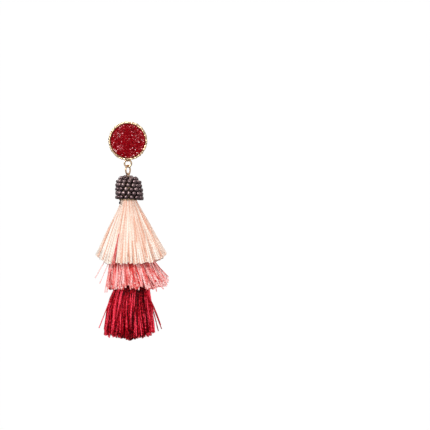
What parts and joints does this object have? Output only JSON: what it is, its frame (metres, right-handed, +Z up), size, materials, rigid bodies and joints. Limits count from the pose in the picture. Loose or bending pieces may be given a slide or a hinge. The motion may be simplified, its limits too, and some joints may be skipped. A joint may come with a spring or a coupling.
{
  "type": "tassel earring",
  "caption": "Drop earring with a round druzy stud, a loop and jump ring, a beaded cap and a stack of thread tassels that fade from peach to crimson.",
  "frame": {"origin": "centre of the pad's face behind the stud, where the ear lobe sits", "axes": "+Z up along the hanging drop, +Y into the ear along the post, and the front of the stud faces -Y"},
  "size_m": [0.0289, 0.0234, 0.0901],
  "materials": {
    "gilt": "pale gilt, polished over a crinkled casting",
    "post_gilt": "pale gilt, polished",
    "gilt_wire": "pale gilt, polished",
    "bell_gilt": "pale gilt, satin",
    "druzy": "deep red, a crust of small glossy crystals",
    "seed_beads": "opaque gunmetal lustre",
    "cord": "ecru twisted thread",
    "peach_thread": "silky rayon thread",
    "coral_thread": "silky rayon thread",
    "crimson_thread": "silky rayon thread"
  },
  "bodies": {
    "stud": {"setting": "gilt", "druzy_stone": "druzy", "ear_post": "post_gilt"},
    "link": {"jump_ring": "gilt_wire"},
    "drop": {"hanging_cord": "cord", "cap_liner": "bell_gilt", "bead_cap": "seed_beads", "peach_tier": "peach_thread", "coral_tier": "coral_thread", "crimson_tier": "crimson_thread"}
  },
  "joints": [
    {"name": "fore_aft_swing", "type": "hinge", "parent": "stud", "child": "link", "pos_m": [0, -0.00222, -0.01067], "axis": [1, 0, 0], "range_deg": [-80, 80]},
    {"name": "side_swing", "type": "hinge", "parent": "link", "child": "drop", "pos_m": [0, -0.00222, -0.01387], "axis": [0.4226, 0.9063, 0], "range_deg": [-45, 45]}
  ]
}
